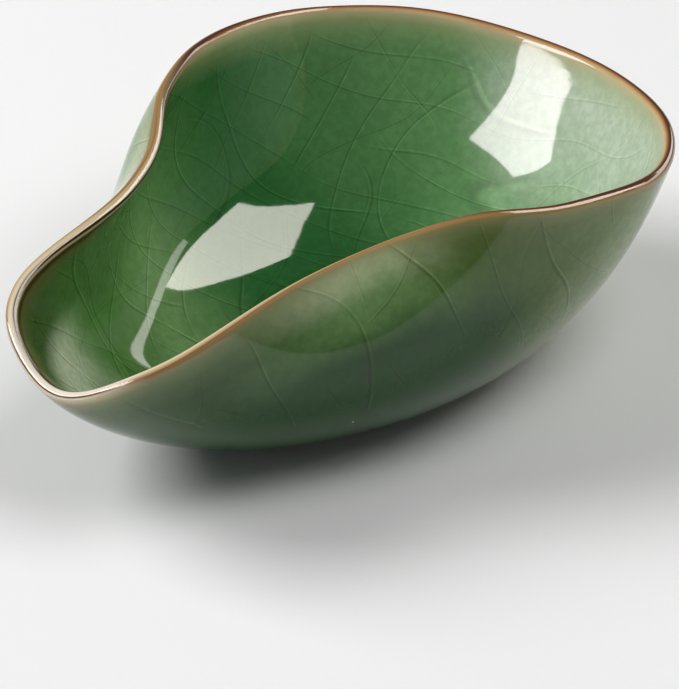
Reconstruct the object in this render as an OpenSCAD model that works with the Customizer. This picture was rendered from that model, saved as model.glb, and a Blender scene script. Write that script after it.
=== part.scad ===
// Tea scoop: a stoneware bowl pinched into a pouring spout, with celadon glaze inside and out,
// an iron-brown band round the lip and a bare oval foot ring.
// Millimetres. The origin is on the table under the middle of the scoop's length, +Z is up,
// and +X runs from the spout towards the back of the bowl. Reaches are measured from the foot's centre.

/* [Spout] */
// Distance from the foot's centre forward to the spout's tip
tip_reach = 64; // [58:0.5:72]
// Height of the lip at the spout's tip
tip_height = 23.5; // [19:0.5:30]
// Distance from the foot's centre forward to the spout's round corners
corner_reach = 57; // [52:0.5:62]
// Width of the spout across its corners
corner_width = 31.5; // [24:0.5:38]
// Height of the lip at the spout's corners
corner_height = 31; // [26:0.5:36]

/* [Neck] */
// Distance from the foot's centre forward to the pinched neck
neck_reach = 27; // [22:0.5:34]
// Width of the mouth at the pinched neck
neck_width = 41; // [32:0.5:48]
// Height of the lip at the pinched neck
neck_height = 37; // [31:0.5:42]
// How far the wall swells out below the neck's lip
neck_swell = 5; // [0:0.5:7]
// How much higher the wall swells there
neck_rise = 4.5; // [0:0.5:7]

/* [Bowl] */
// Distance from the foot's centre forward to the raised shoulders
shoulder_reach = 10; // [6:0.5:15]
// Width of the mouth at the shoulders
shoulder_width = 62.5; // [54:0.5:69]
// Height of the lip at the shoulders
shoulder_height = 42.5; // [37:0.5:48]
// Distance from the foot's centre back to the widest place
side_reach = 9; // [5:0.5:14]
// Width of the mouth at the widest place
side_width = 77.5; // [68:0.5:86]
// Height of the lip at the widest place
side_height = 40; // [35:0.5:46]
// Distance from the foot's centre back to the rear flanks
flank_reach = 30.5; // [26:0.5:35]
// Width of the mouth at the rear flanks
flank_width = 75.5; // [66:0.5:84]
// Height of the lip at the rear flanks
flank_height = 36; // [31:0.5:42]
// Distance from the foot's centre back to the rear corners
heel_reach = 47.5; // [43:0.5:51]
// Width of the mouth at the rear corners
heel_width = 48; // [40:0.5:56]
// Height of the lip at the rear corners
heel_height = 33.5; // [29:0.5:39]
// Distance from the foot's centre to the back of the bowl
back_reach = 56; // [52:0.5:64]
// Height of the lip at the back
back_height = 31; // [26:0.5:37]

/* [Belly] */
// Length of the oval that the wall swells towards
belly_length = 105; // [94:1:116]
// Width of the oval that the wall swells towards
belly_width = 78.5; // [66:0.5:86]
// Height of that oval at the sides
belly_side_height = 16.5; // [13:0.5:20]
// Height of that oval under the spout
belly_front_height = 15.5; // [12:0.5:19]
// Height of that oval at the back
belly_rear_height = 5.5; // [4:0.5:12]
// Distance from the foot's centre forward to that oval's middle
belly_forward = 6.5; // [2:0.5:10]
// How far that oval's widest place lies behind its middle
belly_lag = 6; // [0:0.5:12]
// Share of the way out to the belly that the floor stays flat
floor_pull = 0.56; // [0.46:0.01:0.7]

/* [Walls] */
// Thickness of the wall at the lip, glaze included
lip_thickness = 2; // [1.6:0.1:3]
// Thickness of the floor, glaze included
floor_thickness = 3.2; // [2.4:0.1:4.5]
// How late the wall thins out towards the lip, 1 is evenly all the way up
lip_taper = 4; // [1:0.5:6]
// Thickness of each glaze coat and of the lip band
glaze_thickness = 0.4; // [0.2:0.05:0.6]
// Depth of the brown band down each side of the lip
band_depth = 2.4; // [1.2:0.1:4]

/* [Foot] */
// Length of the oval foot ring
foot_length = 45; // [36:0.5:52]
// Width of the oval foot ring
foot_width = 31; // [25:0.5:36]
// Height of the foot ring below the glazed underside
foot_height = 1.5; // [1:0.1:3]
// Width of the foot ring's bare face
foot_ring_width = 2.6; // [1.8:0.1:5]

/* [Hidden] */

clay_colour = "#a8927a";
glaze_colour = "#5f8a62";
band_colour = "#6b4024";
foot_colour = "#7a5236";

// Facets between two neighbouring stations of the rim
facets_per_span = 5;
// Rows of facets up a glazed wall, down a side of the band and over the lip
wall_rows = 10;
band_rows = 2;
lip_rows = 6;
// Middle and half length, in spans, of the swell on each side of the neck
swell_place = 2.75;
swell_spans = 1.7;
// Small step round the rim for measuring a direction
step = 0.01;

// The lip passes through these stations, from the spout's tip along one side to the back
side_stations = [
    [-tip_reach, 0, tip_height],
    [-corner_reach, corner_width / 2, corner_height],
    [-neck_reach, neck_width / 2, neck_height],
    [-shoulder_reach, shoulder_width / 2, shoulder_height],
    [side_reach, side_width / 2, side_height],
    [flank_reach, flank_width / 2, flank_height],
    [heel_reach, heel_width / 2, heel_height],
    [back_reach, 0, back_height],
];
// The other side is its mirror image, from the back to the spout
stations = concat(side_stations, [
    for (i = [len(side_stations) - 2:-1:1]) [side_stations[i].x, -side_stations[i].y, side_stations[i].z]
]);
spans = len(stations);
facets_round = spans * facets_per_span;

// A place round the scoop is t, counted in spans from the spout's tip
function turn(t) = 360 * t / spans;
function unit(a) = a / norm(a);
function ease(u) = u * u * (3 - 2 * u);
function station(i) = stations[(i + 2 * spans) % spans];

// Parabola through three neighbouring values, at u = -1, 0 and 1
function parabola(a, b, c, u) = b + u * (c - a) / 2 + u * u * (a - 2 * b + c) / 2;

// Each span of the rim eases from the parabola about one station to the parabola about the next
function rim_point(t) =
    let (i = floor(t), u = t - i, e = ease(u))
    (1 - e) * parabola(station(i - 1), station(i), station(i + 1), u)
        + e * parabola(station(i), station(i + 1), station(i + 2), u - 1);

function oval(length, width, t) = [-length / 2 * cos(turn(t)), width / 2 * sin(turn(t))];

function foot_point(t) = concat(oval(foot_length, foot_width, t), foot_height);

// The belly's oval is an egg, and its height goes over from front to sides to rear
function belly_oval(t) =
    let (o = oval(belly_length, belly_width, t), c = cos(turn(t)), s = sin(turn(t)))
    [
        o.x - belly_forward + belly_lag * s * s,
        o.y,
        belly_side_height * s * s + (belly_front_height + belly_rear_height) / 2 * c * c
            + (belly_front_height - belly_rear_height) / 2 * c,
    ];

// Share of the neck's swell at a place, 1 in its middle and 0 past its ends
function swell(t) =
    let (d = min(abs(t - swell_place), abs(spans - swell_place - t)) / swell_spans)
    d < 1 ? pow(1 - d * d, 3) : 0;

function belly_point(t) = belly_oval(t) + swell(t) * [0, neck_swell * sign(sin(turn(t))), neck_rise];

function floor_point(t) =
    let (f = foot_point(t), b = belly_oval(t))
    [f.x + floor_pull * (b.x - f.x), f.y + floor_pull * (b.y - f.y), foot_height];

// The outer surface is a Bezier curve from the foot (v = 0) to the lip (v = 1) at each place t
function wall_point(v, t) =
    pow(1 - v, 3) * foot_point(t) + 3 * pow(1 - v, 2) * v * floor_point(t)
        + 3 * (1 - v) * v * v * belly_point(t) + pow(v, 3) * rim_point(t);

function wall_rise(v, t) =
    3 * pow(1 - v, 2) * (floor_point(t) - foot_point(t))
        + 6 * (1 - v) * v * (belly_point(t) - floor_point(t))
        + 3 * v * v * (rim_point(t) - belly_point(t));

function outward(v, t) =
    unit(cross(wall_rise(v, t), wall_point(v, t + step) - wall_point(v, t - step)));

function wall_thickness(v) = floor_thickness - (floor_thickness - lip_thickness) * pow(v, lip_taper);

// Where the band's lower edge lies on the wall
function band_edge(t) = 1 - band_depth / norm(wall_rise(1, t));

// A cross-section runs through m: outer glaze 0 to 1, outer side of the band 1 to 2, lip 2 to 3,
// inner side of the band 3 to 4, inner glaze 4 to 5
section_rows = [wall_rows, band_rows, lip_rows, band_rows, wall_rows];

function height_on_wall(m, t) = let (e = band_edge(t)) m < 1 ? m * e : e + (m - 1) * (1 - e);

// Point of the section at m, as deep as `cover` below the finished surface
function section_point(m, cover, t) =
    m <= 2 ? let (v = height_on_wall(m, t)) wall_point(v, t) - cover * outward(v, t)
    : m < 3 ? lip_point((m - 2) * 180, cover, t)
    : let (v = height_on_wall(5 - m, t)) wall_point(v, t) - (wall_thickness(v) - cover) * outward(v, t);

function lip_point(angle, cover, t) =
    let (n = outward(1, t), centre = wall_point(1, t) - lip_thickness / 2 * n)
    centre + (lip_thickness / 2 - cover) * (cos(angle) * n + sin(angle) * unit(wall_rise(1, t)));

function marks(first, last) =
    [for (i = [first:last - 1], k = [0:section_rows[i] - 1]) i + k / section_rows[i], last];
function backwards(list) = [for (i = [len(list) - 1:-1:0]) list[i]];
function section_row(m, cover) =
    [for (k = [0:facets_round - 1]) section_point(m, cover, k / facets_per_span)];
function flatten(lists) = [for (l = lists) each l];

// The two triangles of a facet share a diagonal that rises from the lower m to the higher,
// so that two coats meet on the same triangles
function facet(a, b, c, d, rising) = rising ? [[a, b, c], [a, c, d]] : [[a, b, d], [b, c, d]];

function skin_faces(first_row, rows, rising) = [
    for (r = [first_row:first_row + rows - 1], k = [0:facets_round - 1])
        let (next = (k + 1) % facets_round, low = r * facets_round, high = low + facets_round)
        each facet(low + k, low + next, high + next, high + k, rising)
];

function edge_faces(low_row, high_row) = [
    for (k = [0:facets_round - 1])
        let (next = (k + 1) % facets_round, low = low_row * facets_round, high = high_row * facets_round)
        each facet(low + k, low + next, high + next, high + k, true)
];

function row_cap(row) = [for (k = [0:facets_round - 1]) row * facets_round + k];

// Moves a shape drawn about the foot's centre to the part's own origin
module placed() {
    translate([(tip_reach - back_reach) / 2, 0, 0]) children();
}

// A coat of glaze_thickness that runs from m = first to m = last, open at the bottom or closed by a floor
module coat(first, last, floored) {
    m = marks(first, last);
    n = len(m);
    rows = concat(
        [for (x = backwards(m)) section_row(x, glaze_thickness)],
        [for (x = m) section_row(x, 0)]
    );
    // From the clay side at `last` back to `first`, across the edge, and out to `last` on the skin
    faces = concat(
        skin_faces(0, n - 1, false),
        edge_faces(n - 1, n),
        skin_faces(n, n - 1, true),
        floored ? [backwards(row_cap(0)), row_cap(2 * n - 1)] : edge_faces(2 * n - 1, 0)
    );
    polyhedron(flatten(rows), faces);
}

module clay_body() {
    m = marks(0, 5);
    rows = [for (x = m) section_row(x, glaze_thickness)];
    faces = concat(
        skin_faces(0, len(m) - 1, true),
        [backwards(row_cap(0)), row_cap(len(m) - 1)]
    );
    color(clay_colour) placed() polyhedron(flatten(rows), faces);
}

module outer_glaze() {
    color(glaze_colour) placed() coat(0, 1, false);
}

module inner_glaze() {
    color(glaze_colour) placed() coat(4, 5, true);
}

module rim_band() {
    color(band_colour) placed() coat(1, 4, false);
}

// Oval with one corner at each place round the foot, so that it meets the glaze's lower edge
module foot_oval(inset) {
    polygon([
        for (k = [0:facets_round - 1])
            oval(foot_length - 2 * inset, foot_width - 2 * inset, k / facets_per_span)
    ]);
}

module foot_ring() {
    color(foot_colour) placed()
        linear_extrude(foot_height + glaze_thickness)
            difference() {
                foot_oval(0);
                foot_oval(foot_ring_width);
            }
}

module base_glaze() {
    color(glaze_colour) placed()
        translate([0, 0, foot_height])
            linear_extrude(glaze_thickness) foot_oval(foot_ring_width);
}

clay_body();
outer_glaze();
inner_glaze();
rim_band();
foot_ring();
base_glaze();
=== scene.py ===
"""Tea scoop of celadon-glazed stoneware, dressed over its solids. Lengths are in metres."""

import math

import bpy
import numpy as np
from mathutils import Matrix, Vector


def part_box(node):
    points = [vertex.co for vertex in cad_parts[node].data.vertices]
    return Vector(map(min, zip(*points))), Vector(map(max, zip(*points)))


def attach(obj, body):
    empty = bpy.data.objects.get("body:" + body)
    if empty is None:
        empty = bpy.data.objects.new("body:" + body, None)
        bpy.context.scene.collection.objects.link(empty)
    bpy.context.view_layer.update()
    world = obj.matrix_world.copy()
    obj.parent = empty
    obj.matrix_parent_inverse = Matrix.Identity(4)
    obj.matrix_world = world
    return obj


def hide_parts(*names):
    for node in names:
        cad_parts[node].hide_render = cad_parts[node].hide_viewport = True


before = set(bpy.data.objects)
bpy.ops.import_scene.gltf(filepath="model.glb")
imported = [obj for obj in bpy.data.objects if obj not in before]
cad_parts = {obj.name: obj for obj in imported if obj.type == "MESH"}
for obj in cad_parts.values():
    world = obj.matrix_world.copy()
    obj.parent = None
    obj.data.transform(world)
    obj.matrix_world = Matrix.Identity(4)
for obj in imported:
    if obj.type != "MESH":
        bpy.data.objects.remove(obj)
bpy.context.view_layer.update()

MM = 0.001

# Sizes read from the solids
foot_low, foot_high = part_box("foot_ring")
base_low, base_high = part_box("base_glaze")
FOOT_LENGTH = foot_high.x - foot_low.x
FOOT_WIDTH = foot_high.y - foot_low.y
FOOT_CENTRE_X = (foot_high.x + foot_low.x) / 2
FOOT_HEIGHT = base_low.z
FOOT_RING_WIDTH = (FOOT_LENGTH - (base_high.x - base_low.x)) / 2
GLAZE_THICKNESS = base_high.z - base_low.z

# The lip's stations from the spout's tip to the back: along, half width, height
SIDE_STATIONS = MM * np.array([
    (-64.0, 0.0, 23.5),
    (-57.0, 15.75, 31.0),
    (-27.0, 20.5, 37.0),
    (-10.0, 31.25, 42.5),
    (9.0, 38.75, 40.0),
    (30.5, 37.75, 36.0),
    (47.5, 24.0, 33.5),
    (56.0, 0.0, 31.0),
])
STATIONS = np.vstack([SIDE_STATIONS, SIDE_STATIONS[-2:0:-1] * (1, -1, 1)])
SPANS = len(STATIONS)

BELLY_LENGTH = 105 * MM
BELLY_WIDTH = 78.5 * MM
BELLY_SIDE_HEIGHT = 16.5 * MM
BELLY_FRONT_HEIGHT = 15.5 * MM
BELLY_REAR_HEIGHT = 5.5 * MM
BELLY_FORWARD = 6.5 * MM
BELLY_LAG = 6 * MM
FLOOR_PULL = 0.56

# The wall swells out and up below the pinched neck, about this place and this many spans to each side
NECK_SWELL = 5 * MM
NECK_RISE = 4.5 * MM
SWELL_PLACE = 2.75
SWELL_SPANS = 1.7

LIP_THICKNESS = 2 * MM
FLOOR_THICKNESS = 3.2 * MM
LIP_TAPER = 4
BAND_DEPTH = 2.4 * MM

# The potter's hand leaves the surface this far from true, always inwards, in slow waves.
# Each wave: how often it goes round, how it leans up the wall, where it starts
HAND_DEPTH = 0.12 * MM
HAND_WAVES = ((3, 0, 1.3), (5, -4, 0.4), (8, 7, 2.1))

# Mesh rows: outer glaze, outer side of the band, lip, inner side of the band, inner glaze
COLUMNS_PER_SPAN = 24
SECTION_ROWS = (72, 6, 16, 6, 72)
FLOOR_ROWS = 14
SHARP_ANGLE = math.radians(50)

places = np.arange(SPANS * COLUMNS_PER_SPAN) / COLUMNS_PER_SPAN
turns = 2 * math.pi * places / SPANS


# Surface of the scoop

def parabola(a, b, c, u):
    """Through a, b and c at u = -1, 0 and 1."""
    return b + u * (c - a) / 2 + u * u * (a - 2 * b + c) / 2


def rim_point(t):
    i = np.floor(t).astype(int)
    u = (t - i)[:, None]
    ease = u * u * (3 - 2 * u)
    a, b, c, d = (STATIONS[(i + k) % SPANS] for k in (-1, 0, 1, 2))
    return (1 - ease) * parabola(a, b, c, u) + ease * parabola(b, c, d, u - 1)


def oval(length, width, t, height):
    turn = 2 * math.pi * t / SPANS
    return np.stack([-length / 2 * np.cos(turn), width / 2 * np.sin(turn), 0 * t + height], axis=1)


def wall_controls(t):
    """The four control points of the outer wall's curve at each place t."""
    foot = oval(FOOT_LENGTH, FOOT_WIDTH, t, FOOT_HEIGHT)
    c, s = np.cos(2 * math.pi * t / SPANS), np.sin(2 * math.pi * t / SPANS)
    front, rear = BELLY_FRONT_HEIGHT, BELLY_REAR_HEIGHT
    height = BELLY_SIDE_HEIGHT * s * s + (front + rear) / 2 * c * c + (front - rear) / 2 * c
    belly = oval(BELLY_LENGTH, BELLY_WIDTH, t, height)
    belly[:, 0] += BELLY_LAG * s * s - BELLY_FORWARD
    floor = foot + FLOOR_PULL * (belly - foot)
    floor[:, 2] = FOOT_HEIGHT
    away = np.minimum(abs(t - SWELL_PLACE), abs(SPANS - SWELL_PLACE - t)) / SWELL_SPANS
    swell = np.maximum(0, 1 - away * away) ** 3
    belly[:, 1] += NECK_SWELL * np.sign(s) * swell
    belly[:, 2] += NECK_RISE * swell
    return foot, floor, belly, rim_point(t)


def wall_point(v, t):
    foot, floor, belly, rim = wall_controls(t)
    w = 1 - v
    return w ** 3 * foot + 3 * w * w * v * floor + 3 * w * v * v * belly + v ** 3 * rim


def wall_rise(v, t):
    foot, floor, belly, rim = wall_controls(t)
    w = 1 - v
    return 3 * w * w * (floor - foot) + 6 * w * v * (belly - floor) + 3 * v * v * (rim - belly)


def unit(a):
    return a / np.linalg.norm(a, axis=1)[:, None]


def outward(v, t):
    step = 0.01
    return unit(np.cross(wall_rise(v, t), wall_point(v, t + step) - wall_point(v, t - step)))


def wall_thickness(v):
    return FLOOR_THICKNESS - (FLOOR_THICKNESS - LIP_THICKNESS) * v ** LIP_TAPER


def hand(v):
    """How far the finished surface lies inside the true one."""
    v = np.ravel(v)
    wave = sum(np.sin(often * turns + lean * v + start) for often, lean, start in HAND_WAVES)
    return HAND_DEPTH * (0.5 + wave / (2 * len(HAND_WAVES)))


def section_row(m, cover):
    """One row of points round the scoop, and each point's distance from the lip's crest.

    m is 0 to 1 on the outer glaze, to 2 on the band, to 3 over the lip, to 4 on the band inside and
    to 5 on the inner glaze. The row lies `cover` below the finished surface.
    """
    t = places
    speed = np.linalg.norm(wall_rise(1.0, t), axis=1)
    edge = 1 - BAND_DEPTH / speed
    radius = LIP_THICKNESS / 2
    side = m if m <= 2 else 5 - m
    if 2 < m < 3:
        angle = (m - 2) * math.pi
        out = outward(1.0, t)
        direction = math.cos(angle) * out + math.sin(angle) * unit(wall_rise(1.0, t))
        points = wall_point(1.0, t) - radius * out + (radius - cover - hand(1.0))[:, None] * direction
        return points, np.full(len(t), (math.pi / 2 - angle) * radius)
    v = side * edge if side < 1 else edge + (side - 1) * (1 - edge)
    v = v[:, None]
    out = outward(v, t)
    depth = cover + hand(v) if m <= 2 else (wall_thickness(v).ravel() - cover - hand(v))
    from_lip = math.pi / 2 * radius + (1 - v.ravel()) * speed
    return wall_point(v, t) - depth[:, None] * out, from_lip if m <= 2 else -from_lip


def section_rows(first, last, cover):
    marks = [i + k / SECTION_ROWS[i] for i in range(first, last) for k in range(SECTION_ROWS[i])] + [last]
    return [section_row(m, cover) for m in marks]


# Meshes

def grid_faces(rows, columns, closed):
    """Quads between neighbouring rows of a ring of columns. Closed joins the last row to the first."""
    faces = []
    for r in range(rows if closed else rows - 1):
        low, high = r * columns, (r + 1) % rows * columns
        for k in range(columns):
            n = (k + 1) % columns
            faces.append((low + n, low + k, high + k, high + n))
    return faces


def make_piece(name, rows, lip, closed, material, slot, *nodes):
    """A piece from rows of points round the scoop: a closed tube, or a skin with both ends filled."""
    columns = len(rows[0])
    points = np.vstack(rows) + (FOOT_CENTRE_X, 0, 0)
    faces = grid_faces(len(rows), columns, closed)
    if not closed:
        faces.append(tuple(range(columns)))
        faces.append(tuple(len(points) - 1 - k for k in range(columns)))
    mesh = bpy.data.meshes.new(name)
    mesh.from_pydata(points.tolist(), [], faces)
    mesh.shade_smooth()
    mesh.set_sharp_from_angle(angle=SHARP_ANGLE)
    attribute = mesh.attributes.new("lip", "FLOAT", "POINT")
    attribute.data.foreach_set("value", (np.concatenate(lip) / MM).astype(np.float32))
    mesh.materials.append(material)
    piece = bpy.data.objects.new(name, mesh)
    bpy.context.scene.collection.objects.link(piece)
    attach(piece, "root")
    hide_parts(*nodes)


def floor_rows(edge_points, edge_lip, height):
    """Rows that shrink from an oval edge towards the middle of a flat floor."""
    rows = []
    for k in range(1, FLOOR_ROWS):
        points = edge_points * (1 - k / FLOOR_ROWS)
        points[:, 2] = height
        rows.append((points, edge_lip))
    return rows


def make_coat(name, first, last, floored, material, slot, node):
    back = section_rows(first, last, GLAZE_THICKNESS)
    skin = section_rows(first, last, 0)
    if floored:
        back = back + floor_rows(*back[-1], back[-1][0][0, 2])
        skin = skin + floor_rows(*skin[-1], skin[-1][0][0, 2])
    rows = back[::-1] + skin
    points, lip = zip(*rows)
    make_piece(name, points, lip, not floored, material, slot, node)


# Materials

def linear(hex_colour):
    """A colour as it is written, in the linear values that a shader takes."""
    parts = [int(hex_colour[k:k + 2], 16) / 255 for k in (1, 3, 5)]
    return [p / 12.92 if p <= 0.04045 else ((p + 0.055) / 1.055) ** 2.4 for p in parts] + [1.0]


class Nodes:
    """Short forms for building one material's nodes."""

    def __init__(self, name):
        self.material = bpy.data.materials.new(name)
        self.material.use_nodes = True
        self.tree = self.material.node_tree
        self.shader = self.tree.nodes["Principled BSDF"]

    def add(self, kind, inputs=None, **settings):
        made = self.tree.nodes.new("ShaderNode" + kind)
        for key, value in settings.items():
            setattr(made, key, value)
        for key, value in (inputs or {}).items():
            self.feed(made.inputs[key], value)
        return made

    def feed(self, socket, value):
        if isinstance(value, bpy.types.NodeSocket):
            self.tree.links.new(value, socket)
        else:
            socket.default_value = value

    def math(self, operation, a, b=0.0):
        return self.add("Math", {0: a, 1: b}, operation=operation).outputs[0]

    def times(self, a, b):
        return self.math("MULTIPLY", a, b)

    def plus(self, a, b):
        return self.math("ADD", a, b)

    def minus(self, a, b):
        return self.math("SUBTRACT", a, b)

    def vector(self, operation, a, b):
        return self.add("VectorMath", {0: a, 1: b}, operation=operation).outputs[0]

    def span(self, value, low, high, out_low=0.0, out_high=1.0):
        """value from low to high becomes out_low to out_high, smoothly and no further."""
        made = self.add("MapRange", {"Value": value, "From Min": low, "From Max": high,
                                     "To Min": out_low, "To Max": out_high},
                        interpolation_type="SMOOTHSTEP")
        return made.outputs["Result"]

    def mix(self, share, a, b):
        made = self.add("Mix", {0: share, 6: a, 7: b}, data_type="RGBA")
        return made.outputs[2]

    def blend(self, share, a, b):
        return self.add("Mix", {0: share, 2: a, 3: b}).outputs[0]

    def fade(self, value, border, before, after):
        """One colour gives way to the next as value crosses the border."""
        before, after = (linear(c) if isinstance(c, str) else c for c in (before, after))
        return self.mix(self.span(value, *border), before, after)

    def ramp(self, value, stops):
        """Colour and cover along value: stops of (value, colour, cover)."""
        made = self.add("ValToRGB", {"Fac": self.math("DIVIDE", value, stops[-1][0])})
        elements = made.color_ramp.elements
        while len(elements) < len(stops):
            elements.new(0.5)
        for element, (at, colour, cover) in zip(elements, stops):
            element.position = at / stops[-1][0]
            element.color = linear(colour)[:3] + [cover]
        return made.outputs["Color"], made.outputs["Alpha"]

    def lighter(self, colour, factor):
        return self.vector("MULTIPLY", colour, (factor, factor, factor))

    def stripes(self, vector, towards, gap):
        """Distance to the nearest of the planes that lie two gaps apart across the direction towards."""
        across = self.add("VectorMath", {0: vector, 1: towards}, operation="DOT_PRODUCT").outputs["Value"]
        return self.math("PINGPONG", across, gap)

    def position(self):
        return self.add("TexCoord").outputs["Object"]

    def shifted(self, vector, offset):
        return self.vector("ADD", vector, offset)

    def noise(self, vector, scale, detail=2.0, roughness=0.5):
        made = self.add("TexNoise", {"Vector": vector, "Scale": scale, "Detail": detail,
                                     "Roughness": roughness})
        return made.outputs["Fac"]

    def warped(self, vector, scale, amount):
        """vector pushed about by a noise, so that what is drawn with it bends."""
        push = self.add("TexNoise", {"Vector": vector, "Scale": scale, "Detail": 1.0}).outputs["Color"]
        centred = self.vector("SUBTRACT", push, (0.5, 0.5, 0.5))
        scaled = self.add("VectorMath", {0: centred, "Scale": amount}, operation="SCALE").outputs[0]
        return self.shifted(vector, scaled)

    def rough_surface(self, height, strength, distance):
        made = self.add("Bump", {"Height": height, "Strength": strength, "Distance": distance})
        self.feed(self.shader.inputs["Normal"], made.outputs["Normal"])


# Greens inside the scoop
# Spout floor: paler where the glaze is thin, and partly a painted reflection
SPOUT_FLOOR_THIN_AND_REFLECTION = "#c8d0b4"
SPOUT_WALL = "#43592b"
NECK = "#517b3d"
BOWL_FRONT = "#749a5f"
BOWL_POOL = "#29672f"
BOWL_BACK = "#699760"
# Back end: paler thin glaze, and partly a painted reflection
BOWL_END_THIN_AND_REFLECTION = "#d2ddca"

# Greens outside it
# Under the lip outside: pale partly from thin glaze, partly a painted reflection
UNDER_LIP_AND_REFLECTION = "#b0bb94"
HIGH_SPOUT = "#22440f"
HIGH_FRONT = "#648550"
HIGH_MIDDLE = "#425c24"
# Low on the wall outside: the front's very dark green is partly painted shade, the middle's lighter green
# partly a painted reflection
LOW_FRONT_AND_SHADE = "#123f0f"
LOW_MIDDLE_AND_REFLECTION = "#4f6533"
# Outside back: partly glaze colour, partly a painted reflection of pale surroundings
OUTSIDE_BACK_AND_REFLECTION = "#8b9d72"

# Borders between the greens, where each starts and ends, in metres along the scoop
SPOUT_TO_NECK = (-0.050, -0.034)
NECK_TO_BOWL = (-0.032, -0.014)
FRONT_TO_POOL = (-0.018, 0.008)
POOL_TO_BACK = (0.014, 0.044)
BACK_TO_END = (0.040, 0.062)
HIGH_SPOUT_TO_FRONT = (-0.044, -0.020)
HIGH_FRONT_TO_MIDDLE = (-0.019, -0.003)
LOW_FRONT_TO_MIDDLE = (-0.006, 0.014)
MIDDLE_TO_OUTSIDE_BACK = (0.008, 0.032)

# In metres above the ground inside the spout, and in millimetres from the lip's crest outside
SPOUT_FLOOR_TO_WALL = (0.0185, 0.0235)
UNDER_LIP_TO_HIGH = (2.0, 9.0)
HIGH_TO_LOW = (9.0, 20.0)

# How a cloud of noise moves the borders, in metres along and in millimetres down the outside
BORDER_DRIFT = 0.018
BORDER_RUN = 9.0

# The pool's borders bend with the square of the distance from the middle, and the back end's leans
POOL_BEND = 7.0
POOL_SHIFT = 0.006
END_LEAN = 0.35

SPECKLE = (0.35, 0.68)
SPECKLE_LIGHT = 1.18

# Colours along the distance from the lip's crest in millimetres, with how far each covers the green. The
# cream-white crests and bands at the tip and inside the front are partly painted highlights and
# reflections
LIP_OUTSIDE_TIP_AND_HIGHLIGHT = (
    (0.0, "#efe6d6", 1.0), (0.3, "#e6dac2", 1.0), (0.45, "#6a4728", 1.0), (0.62, "#7a5836", 1.0),
    (0.85, "#e2d8c4", 1.0), (1.5, "#d2c4a0", 0.9), (2.6, "#a79f72", 0.6), (4.5, "#8d9468", 0.25),
    (8.0, "#8d9468", 0.0),
)
LIP_OUTSIDE_FRONT = (
    (0.0, "#d9c39a", 1.0), (0.5, "#c4a87a", 1.0), (0.8, "#8e6840", 1.0), (1.05, "#9c7a4c", 1.0),
    (1.6, "#8f825a", 0.9), (2.6, "#7f8a5e", 0.6), (5.0, "#7f8d62", 0.2), (8.0, "#7f8d62", 0.0),
)
LIP_OUTSIDE_BACK = (
    (0.0, "#4a2a14", 1.0), (0.3, "#6a401f", 1.0), (0.65, "#9a6c3a", 1.0), (1.0, "#a3824e", 1.0),
    (1.5, "#8d8153", 0.9), (2.4, "#82845a", 0.55), (4.0, "#7d7f55", 0.22), (8.0, "#7d7f55", 0.0),
)
# The cream crest and pale band inside the tip are partly a painted highlight
LIP_INSIDE_TIP_AND_HIGHLIGHT = (
    (0.0, "#f0e8da", 1.0), (0.55, "#e8dcc6", 1.0), (0.8, "#2c190b", 1.0), (1.2, "#3c2210", 1.0),
    (1.6, "#8f6234", 1.0), (2.2, "#7d6438", 1.0), (3.0, "#958c62", 0.85), (5.0, "#94966e", 0.5),
    (9.0, "#94966e", 0.0),
)
# The cream crest and cream band inside the front are partly a painted highlight
LIP_INSIDE_FRONT_AND_HIGHLIGHT = (
    (0.0, "#e8dcc4", 1.0), (0.35, "#dccbaa", 1.0), (0.55, "#3a2210", 1.0), (0.85, "#402813", 1.0),
    (1.05, "#d2be98", 1.0), (1.3, "#b49a6c", 1.0), (1.6, "#3d2712", 1.0), (2.2, "#452f17", 1.0),
    (2.9, "#6f6136", 0.8), (4.0, "#6d6c3e", 0.5), (7.0, "#6d6c3e", 0.0),
)
LIP_INSIDE_BACK = (
    (0.0, "#4a2a14", 1.0), (0.35, "#5a351a", 1.0), (0.65, "#9c683a", 1.0), (1.0, "#c49c6a", 1.0),
    (1.5, "#dcc69c", 1.0), (2.2, "#cfc497", 0.85), (3.2, "#b9bd8a", 0.55), (5.0, "#b9bd8a", 0.25),
    (8.0, "#b9bd8a", 0.0),
)


# The lip's colours change from the tip's to the front's and to the back's here, in metres along the scoop
TIP_TO_FRONT = (-0.060, -0.053)
FRONT_TO_BACK = (-0.026, 0.004)

# The lip's colours wander this far in all, in millimetres, from the first distance to the crest on and
# fully from the second
LIP_WOBBLE = 0.9
WOBBLE_STARTS = (0.4, 2.0)

# Families of cracks: offset, direction across them, half the distance between them, bend, kind
CRACKS = (
    ((0.00, 0.00, 0.00), (0.90, 0.30, 0.30), 0.0055, 0.030, "long"),
    ((0.20, 0.50, 0.10), (-0.30, 0.80, 0.50), 0.0070, 0.026, "long"),
    ((0.60, 0.20, 0.70), (0.60, -0.60, 0.50), 0.0065, 0.024, "long"),
    ((0.35, 0.15, 0.85), (0.68, 0.25, 0.68), 0.0036, 0.016, "lattice"),
    ((0.75, 0.45, 0.25), (0.70, -0.20, -0.68), 0.0040, 0.018, "lattice"),
)

# A crack's dark side lies this far from its pale line. Each fades from the first half width to the second
CRACK_SHADE = (0.00022, 0.00022, -0.00012)
CRACK_DARK = (0.00006, 0.0004)
CRACK_PALE = (0.00003, 0.00022)
DARK_FACTOR, DARK_SHARE = 0.45, 0.65
PALE_FACTOR, PALE_SHARE = 1.8, 0.85

# Cracks come and go where a noise crosses this, are calmer at the back end, and the lattice starts this
# many millimetres below the lip
CRACKED = (0.37, 0.54)
CALM_END = (0.026, 0.050)
CALM_SHARE = 0.45
LATTICE_STARTS = (2.5, 7.0)
LATTICE_SHARE = 0.9

PINHOLE = "#d6dccb"
PINHOLE_CELLS = 95.0
PINHOLE_CHOICE = 0.86
PINHOLE_EDGE = (0.012, 0.024)
PINHOLE_SHARE = 0.8


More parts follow.
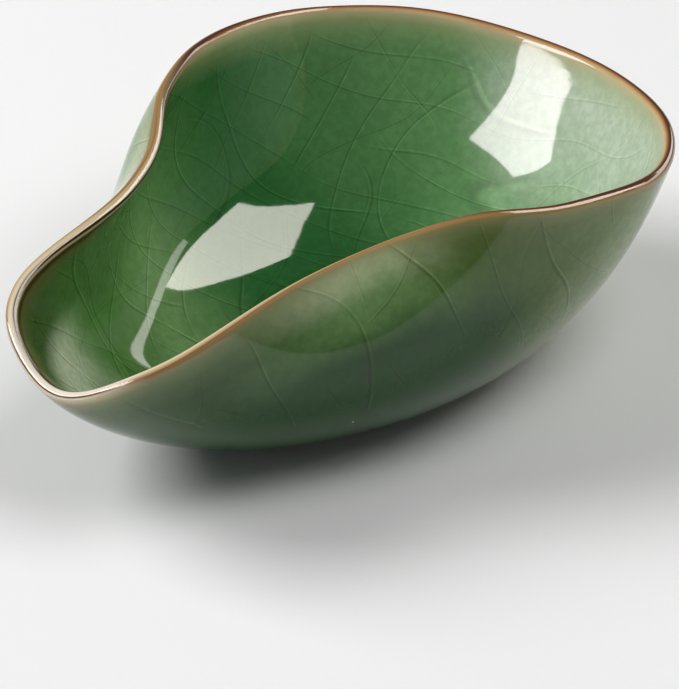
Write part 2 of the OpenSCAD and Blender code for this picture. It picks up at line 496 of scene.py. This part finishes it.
def glaze_material(name):
    """Celadon over brown clay: green where it lies thick, olive and then brown where it thins, with some
    painted reflection, highlight and shade.
    """
    n = Nodes(name)
    place = n.position()
    parts = n.add("SeparateXYZ", {0: place}).outputs
    along, across, height = parts["X"], parts["Y"], parts["Z"]
    lip = n.add("Attribute", attribute_name="lip").outputs["Fac"]
    inside = n.span(lip, -0.3, 0.3, 1.0, 0.0)
    depth = n.math("ABSOLUTE", lip)
    cloud = n.noise(place, scale=42.0, detail=3.0)
    speckle = n.noise(place, scale=700.0, detail=3.0, roughness=0.6)

    # Green: deep in the bowl, darker low on the wall partly as painted shade, and paler where the glaze
    # lies thinner and partly as painted reflection
    unrest = n.minus(cloud, 0.5)
    drift = n.plus(along, n.times(unrest, BORDER_DRIFT))
    run = n.plus(lip, n.times(unrest, BORDER_RUN))
    curve = n.minus(n.times(n.times(across, across), POOL_BEND), POOL_SHIFT)
    end = n.minus(drift, n.times(across, END_LEAN))
    # The pale spout floor is partly a painted reflection
    spout = n.fade(height, SPOUT_FLOOR_TO_WALL, SPOUT_FLOOR_THIN_AND_REFLECTION, SPOUT_WALL)
    within = n.fade(n.minus(drift, curve), FRONT_TO_POOL, BOWL_FRONT, BOWL_POOL)
    within = n.fade(drift, NECK_TO_BOWL, NECK, within)
    within = n.fade(drift, SPOUT_TO_NECK, spout, within)
    within = n.fade(n.plus(drift, curve), POOL_TO_BACK, within, BOWL_BACK)
    # The pale back end is partly a painted reflection
    within = n.fade(end, BACK_TO_END, within, BOWL_END_THIN_AND_REFLECTION)
    # Low outer wall: dark front partly painted shade, lighter middle partly painted reflection
    low = n.fade(drift, LOW_FRONT_TO_MIDDLE, LOW_FRONT_AND_SHADE, LOW_MIDDLE_AND_REFLECTION)
    # The pale band under the lip is partly a painted reflection
    high = n.fade(run, UNDER_LIP_TO_HIGH, UNDER_LIP_AND_REFLECTION, HIGH_FRONT)
    high = n.fade(drift, HIGH_SPOUT_TO_FRONT, HIGH_SPOUT, high)
    high = n.fade(drift, HIGH_FRONT_TO_MIDDLE, high, HIGH_MIDDLE)
    # Darker from the upper wall to the low wall, partly as painted shade
    without = n.fade(run, HIGH_TO_LOW, high, low)
    # The pale outside back is partly a painted reflection
    without = n.fade(drift, MIDDLE_TO_OUTSIDE_BACK, without, OUTSIDE_BACK_AND_REFLECTION)
    green = n.mix(inside, without, within)
    green = n.fade(speckle, SPECKLE, green, n.lighter(green, SPECKLE_LIGHT))

    # Crackle: long bent cracks, each with a pale and a dark side, and a closer lattice inside the bowl
    calm = n.span(end, *CALM_END, 1.0, CALM_SHARE)
    lattice = n.times(n.times(inside, n.span(depth, *LATTICE_STARTS)), LATTICE_SHARE)
    for offset, towards, gap, bend, kind in CRACKS:
        shifted = n.shifted(place, offset)
        bent = n.warped(shifted, 26.0, bend)
        cover = n.times(n.span(n.noise(shifted, scale=48.0, detail=1.0), *CRACKED), calm)
        if kind == "lattice":
            cover = n.times(cover, lattice)
        crack = n.stripes(bent, towards, gap)
        shade = n.stripes(n.shifted(bent, CRACK_SHADE), towards, gap)
        dark_line = n.times(n.span(shade, *CRACK_DARK, 1.0, 0.0), cover)
        pale_line = n.times(n.span(crack, *CRACK_PALE, 1.0, 0.0), cover)
        green = n.mix(n.times(dark_line, DARK_SHARE), green, n.lighter(green, DARK_FACTOR))
        green = n.mix(n.times(pale_line, PALE_SHARE), green, n.lighter(green, PALE_FACTOR))

    # Pinholes: a few pale dots
    dots = n.add("TexVoronoi", {"Vector": place, "Scale": PINHOLE_CELLS})
    draw = n.add("SeparateColor", {0: dots.outputs["Color"]}).outputs[0]
    chosen = n.math("GREATER_THAN", draw, PINHOLE_CHOICE)
    dot = n.times(n.span(dots.outputs["Distance"], *PINHOLE_EDGE, 1.0, 0.0), chosen)
    green = n.mix(n.times(dot, PINHOLE_SHARE), green, linear(PINHOLE))

    # Thin glaze at the lip, with partly painted highlights and reflections at the tip and front
    wobble = n.times(n.minus(n.noise(place, scale=140.0), 0.5), LIP_WOBBLE)
    thin = n.plus(depth, n.times(wobble, n.span(depth, *WOBBLE_STARTS)))
    thin = n.math("MAXIMUM", thin, 0.0)
    to_front = n.span(along, *TIP_TO_FRONT)
    to_back = n.span(drift, *FRONT_TO_BACK)
    shades = []
    for tip, front, rear in ((LIP_OUTSIDE_TIP_AND_HIGHLIGHT, LIP_OUTSIDE_FRONT, LIP_OUTSIDE_BACK),
                             (LIP_INSIDE_TIP_AND_HIGHLIGHT, LIP_INSIDE_FRONT_AND_HIGHLIGHT, LIP_INSIDE_BACK)):
        shade, share = n.ramp(thin, tip)
        for further, stops in ((to_front, front), (to_back, rear)):
            next_shade, next_share = n.ramp(thin, stops)
            shade = n.mix(further, shade, next_shade)
            share = n.blend(further, share, next_share)
        shades.append((shade, share))
    (out_colour, out_cover), (in_colour, in_cover) = shades
    cover = n.blend(inside, out_cover, in_cover)
    colour = n.mix(cover, green, n.mix(inside, out_colour, in_colour))
    n.feed(n.shader.inputs["Base Color"], colour)

    # Gloss with a faint orange-peel surface
    n.shader.inputs["Roughness"].default_value = 0.05
    n.shader.inputs["IOR"].default_value = 1.5
    peel = n.noise(place, scale=240.0)
    relief = n.plus(n.times(peel, 0.22), n.times(cloud, 0.2))
    relief = n.minus(relief, n.times(dot, 0.6))
    n.rough_surface(relief, strength=0.12, distance=0.0004)
    return n.material


def bare_clay_material(name, light, dark):
    """Fired clay with grain and iron specks."""
    n = Nodes(name)
    place = n.position()
    grain = n.noise(place, scale=900.0, detail=4.0, roughness=0.7)
    colour = n.fade(n.noise(place, scale=90.0), (0.35, 0.65), dark, light)
    speck = n.span(n.noise(place, scale=1500.0, detail=1.0), 0.66, 0.72)
    colour = n.mix(n.times(speck, 0.6), colour, linear("#2a1a10"))
    n.feed(n.shader.inputs["Base Color"], colour)
    n.shader.inputs["Roughness"].default_value = 0.82
    n.rough_surface(grain, strength=0.35, distance=0.0003)
    return n.material


celadon = glaze_material("celadon_glaze")
iron_lip = glaze_material("iron_lip_glaze")
foot_clay = bare_clay_material("foot_clay", "#8a6244", "#6d4a32")
body_clay = bare_clay_material("body_clay", "#b09a80", "#998369")


# Pieces

make_coat("outer_glaze_coat", 0, 1, False, celadon, "celadon", "outer_glaze")
make_coat("inner_glaze_coat", 4, 5, True, celadon, "celadon", "inner_glaze")
make_coat("rim_band_coat", 1, 4, False, iron_lip, "iron_lip", "rim_band")


def foot_row(inset, height):
    return oval(FOOT_LENGTH - 2 * inset, FOOT_WIDTH - 2 * inset, places, height)


def make_foot_piece(name, profile, closed, material, slot, node):
    """A piece about the foot's centre from a profile of (inset from the foot's edge, height)."""
    rows = [foot_row(inset, height) for inset, height in profile]
    lip = [np.full(len(places), 20 * MM)] * len(rows)
    make_piece(name, rows, lip, closed, material, slot, node)


# Foot ring with worn round edges, a little hollow in the middle of its face
WORN_EDGE = MM * np.array([(0, 0.9), (0.04, 0.55), (0.16, 0.26), (0.36, 0.08), (0.62, 0), (0.9, 0.01)])
FACE_HOLLOW = 0.04 * MM
ring_top = FOOT_HEIGHT + GLAZE_THICKNESS
ring = FOOT_RING_WIDTH
far_edge = [(ring - inset, height) for inset, height in WORN_EDGE[::-1]]
make_foot_piece("foot_ring_turned", (
    [(0, ring_top), *WORN_EDGE, (ring / 2, FACE_HOLLOW), *far_edge, (ring, ring_top)]
), True, foot_clay, "bare_foot", "foot_ring")

# Glazed panel inside it, with the glaze drawn up round its edge
PANEL_EDGE = MM * np.array([(0, 1.12), (0.12, 1.2), (0.35, 1.32), (0.75, 1.43)])
PANEL_EDGE_WIDTH = 1.3 * MM
PANEL_ROWS = 12
half = FOOT_WIDTH / 2
panel_edge = [(ring + inset, height) for inset, height in PANEL_EDGE]
panel_edge.append((ring + PANEL_EDGE_WIDTH, FOOT_HEIGHT))
inward = [ring + (half - ring) * k / PANEL_ROWS for k in range(3, PANEL_ROWS)]
panel_back = [(inset, ring_top) for inset in inward[::-1]]
panel_face = [(inset, FOOT_HEIGHT) for inset in inward]
make_foot_piece("base_glaze_panel", (
    [*panel_back, (ring, ring_top), *panel_edge, *panel_face]
), False, celadon, "celadon", "base_glaze")

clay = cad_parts["clay_body"]
clay.data.materials.clear()
clay.data.materials.append(body_clay)


# Stage: a pale floor, two soft lamps and three white cards that show in the gloss

FLOOR_SIZE = 6.0
FLOOR_COLOUR = (0.9, 0.9, 0.9, 1)
floor_mesh = bpy.data.meshes.new("floor")
reach = FLOOR_SIZE / 2
floor_corners = [(x * reach, y * reach, 0) for x, y in ((-1, -1), (1, -1), (1, 1), (-1, 1))]
floor_mesh.from_pydata(floor_corners, [], [(0, 1, 2, 3)])
floor = bpy.data.objects.new("floor", floor_mesh)
bpy.context.scene.collection.objects.link(floor)

floor_paper = Nodes("floor_paper")
floor_paper.shader.inputs["Base Color"].default_value = FLOOR_COLOUR
floor_paper.shader.inputs["Roughness"].default_value = 0.8
floor_paper.shader.inputs["Specular IOR Level"].default_value = 0.1
floor_mesh.materials.append(floor_paper.material)


def facing_place(centre, facing, edge):
    """A place at centre whose back looks along facing, with its first axis along edge."""
    z = -Vector(facing).normalized()
    x = Vector(edge)
    x = (x - x.dot(z) * z).normalized()
    return Matrix.Translation(centre) @ Matrix((x, z.cross(x), z)).transposed().to_4x4()


def soft_lamp(name, centre, size, level):
    """A square soft lamp that looks at the scoop and gives the floor there the brightness level."""
    distance = Vector(centre).length
    lamp = bpy.data.lights.new(name, "AREA")
    lamp.size = size
    lamp.energy = level * math.pi ** 2 * distance ** 3 / centre[2]
    thing = bpy.data.objects.new(name, lamp)
    thing.matrix_world = facing_place(centre, -Vector(centre), (-centre[1], centre[0], 0))
    thing.visible_glossy = False
    bpy.context.scene.collection.objects.link(thing)


def card(name, centre, facing, edge, corners, colour, shine):
    """A white card that the glaze mirrors, but no mirror image is mirrored again.

    It gives no light to anything matt and casts no shadow.
    """
    mesh = bpy.data.meshes.new(name)
    mesh.from_pydata([(x * MM, y * MM, 0) for x, y in corners], [], [tuple(range(len(corners)))])
    n = Nodes(name)
    once = n.math("LESS_THAN", n.add("LightPath").outputs["Glossy Depth"], 1.5)
    glow = n.add("Emission", {"Color": colour, "Strength": n.times(once, shine)}).outputs[0]
    n.feed(n.tree.nodes["Material Output"].inputs["Surface"], glow)
    mesh.materials.append(n.material)
    face = bpy.data.objects.new(name, mesh)
    face.matrix_world = facing_place(centre, facing, edge)
    face.visible_camera = False
    face.visible_diffuse = False
    face.visible_shadow = False
    bpy.context.scene.collection.objects.link(face)


soft_lamp("key_lamp", centre=(-0.52, 0.92, 1.00), size=0.80, level=0.57)
soft_lamp("fill_lamp", centre=(0.36, -0.72, 1.50), size=1.00, level=0.38)

# The right card makes the highlight at the bowl's front, the left one that at its back, and the low one
# the line in the neck. Corners are in millimetres on the card
card("right_card", centre=(0.281, -0.184, 0.300), facing=(-0.739, 0.146, -0.658),
     edge=(-0.606, 0.283, 0.743),
     corners=((-152, -122), (30, -140), (138, -185), (118, 140), (-150, 158)),
     colour=(1.0, 0.95, 0.88, 1), shine=10.5)
card("left_card", centre=(-0.345, 0.095, 0.245), facing=(0.975, -0.22, -0.02), edge=(0.22, 0.975, 0),
     corners=((-188, -86), (90, -140), (205, -45), (360, 128), (-138, 92), (-128, 60)),
     colour=(1.0, 0.92, 0.97, 1), shine=14.0)
card("low_card", centre=(0.412, -0.092, 0.110), facing=(-0.97, 0.24, 0), edge=(0.24, 0.97, 0),
     corners=((-150, -33), (260, -33), (260, 104), (110, 72), (-150, 54)),
     colour=(1.0, 0.97, 0.92, 1), shine=4.2)

WORLD_LEVEL = 0.12
world = bpy.data.worlds.new("room")
world.use_nodes = True
world.node_tree.nodes["Background"].inputs["Color"].default_value = (1, 1, 1, 1)
world.node_tree.nodes["Background"].inputs["Strength"].default_value = WORLD_LEVEL
bpy.context.scene.world = world

# Camera at the photograph's viewing angle
CAMERA_AZIMUTH = math.radians(-46)
CAMERA_ELEVATION = math.radians(34)
CAMERA_DISTANCE = 0.6
CAMERA_TARGET = Vector((2.65, 1.15, 1.87)) * MM
camera_data = bpy.data.cameras.new("camera")
camera_data.sensor_width = 36
camera_data.lens = 195.7
camera_data.clip_start = 0.01
camera = bpy.data.objects.new("camera", camera_data)
bpy.context.scene.collection.objects.link(camera)
back = Vector((
    math.sin(CAMERA_AZIMUTH) * math.cos(CAMERA_ELEVATION),
    -math.cos(CAMERA_AZIMUTH) * math.cos(CAMERA_ELEVATION),
    math.sin(CAMERA_ELEVATION),
))
camera.location = CAMERA_TARGET + back * CAMERA_DISTANCE
camera.rotation_euler = (-back).to_track_quat("-Z", "Y").to_euler()
bpy.context.scene.camera = camera

bpy.context.scene.view_settings.view_transform = "Standard"
